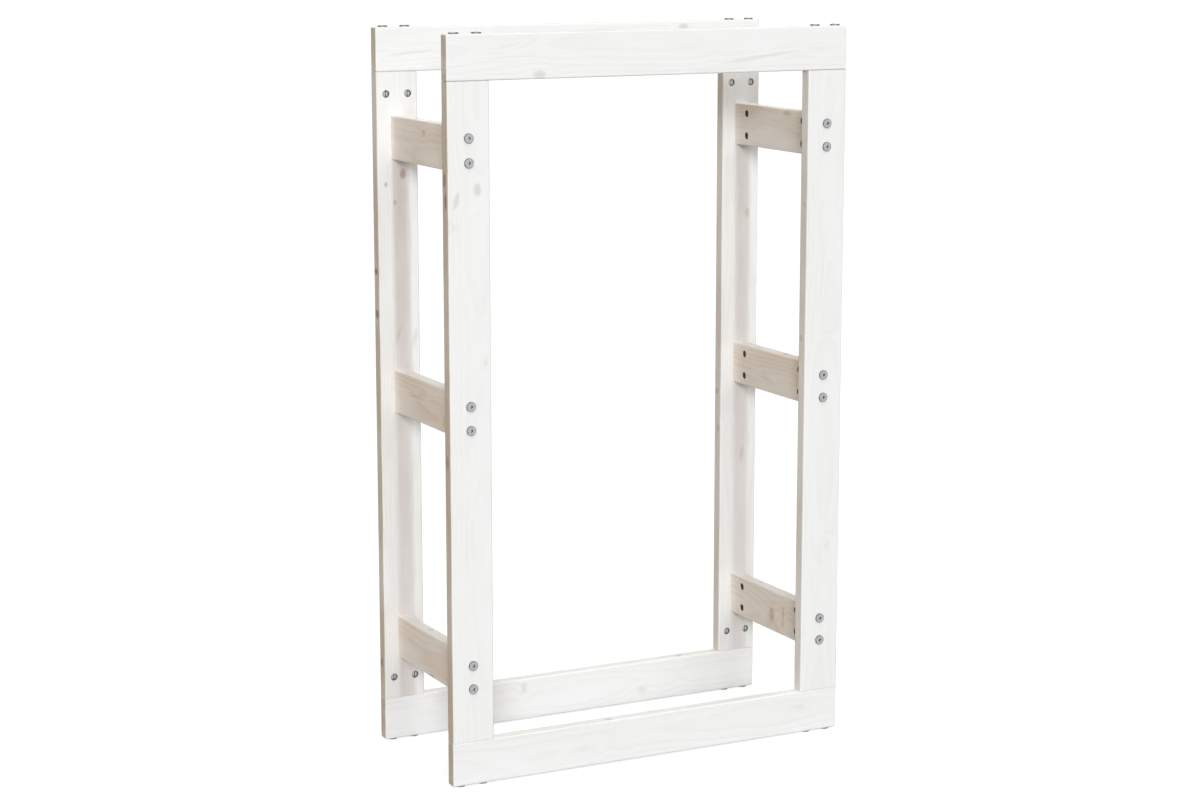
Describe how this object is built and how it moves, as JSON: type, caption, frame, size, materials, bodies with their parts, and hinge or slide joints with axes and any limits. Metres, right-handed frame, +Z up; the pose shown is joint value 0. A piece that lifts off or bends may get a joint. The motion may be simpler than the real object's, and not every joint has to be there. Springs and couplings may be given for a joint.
{
  "type": "firewood rack",
  "caption": "Tall open firewood rack: front and rear frames of white-washed boards, held apart by side cross rails with socket bolts and barrel nuts, to hold a stack of logs.",
  "frame": {"origin": "on the floor, under the middle of the rack", "axes": "+X to the right along the width, +Y from front to rear, +Z up"},
  "size_m": [0.6, 0.2584, 1.0044],
  "materials": {
    "white_pine": "white-washed, matt",
    "zinc_steel": "zinc plated, satin"
  },
  "bodies": {
    "root": {"front_bottom_rail": "white_pine", "front_left_bottom_corner_bolts": "zinc_steel", "front_left_bottom_corner_nuts": "zinc_steel", "front_left_post": "white_pine", "front_left_top_corner_bolts": "zinc_steel", "front_left_top_corner_nuts": "zinc_steel", "front_right_bottom_corner_bolts": "zinc_steel", "front_right_bottom_corner_nuts": "zinc_steel", "front_right_post": "white_pine", "front_right_top_corner_bolts": "zinc_steel", "front_right_top_corner_nuts": "zinc_steel", "front_top_rail": "white_pine", "left_bottom_cross_rail": "white_pine", "left_bottom_cross_rail_bolts": "zinc_steel", "left_bottom_cross_rail_nuts": "zinc_steel", "left_middle_cross_rail": "white_pine", "left_middle_cross_rail_bolts": "zinc_steel", "left_middle_cross_rail_nuts": "zinc_steel", "left_top_cross_rail": "white_pine", "left_top_cross_rail_bolts": "zinc_steel", "left_top_cross_rail_nuts": "zinc_steel", "rear_bottom_rail": "white_pine", "rear_left_bottom_corner_bolts": "zinc_steel", "rear_left_bottom_corner_nuts": "zinc_steel", "rear_left_post": "white_pine", "rear_left_top_corner_bolts": "zinc_steel", "rear_left_top_corner_nuts": "zinc_steel", "rear_right_bottom_corner_bolts": "zinc_steel", "rear_right_bottom_corner_nuts": "zinc_steel", "rear_right_post": "white_pine", "rear_right_top_corner_bolts": "zinc_steel", "rear_right_top_corner_nuts": "zinc_steel", "rear_top_rail": "white_pine", "right_bottom_cross_rail": "white_pine", "right_bottom_cross_rail_bolts": "zinc_steel", "right_bottom_cross_rail_nuts": "zinc_steel", "right_middle_cross_rail": "white_pine", "right_middle_cross_rail_bolts": "zinc_steel", "right_middle_cross_rail_nuts": "zinc_steel", "right_top_cross_rail": "white_pine", "right_top_cross_rail_bolts": "zinc_steel", "right_top_cross_rail_nuts": "zinc_steel"}
  },
  "joints": []
}
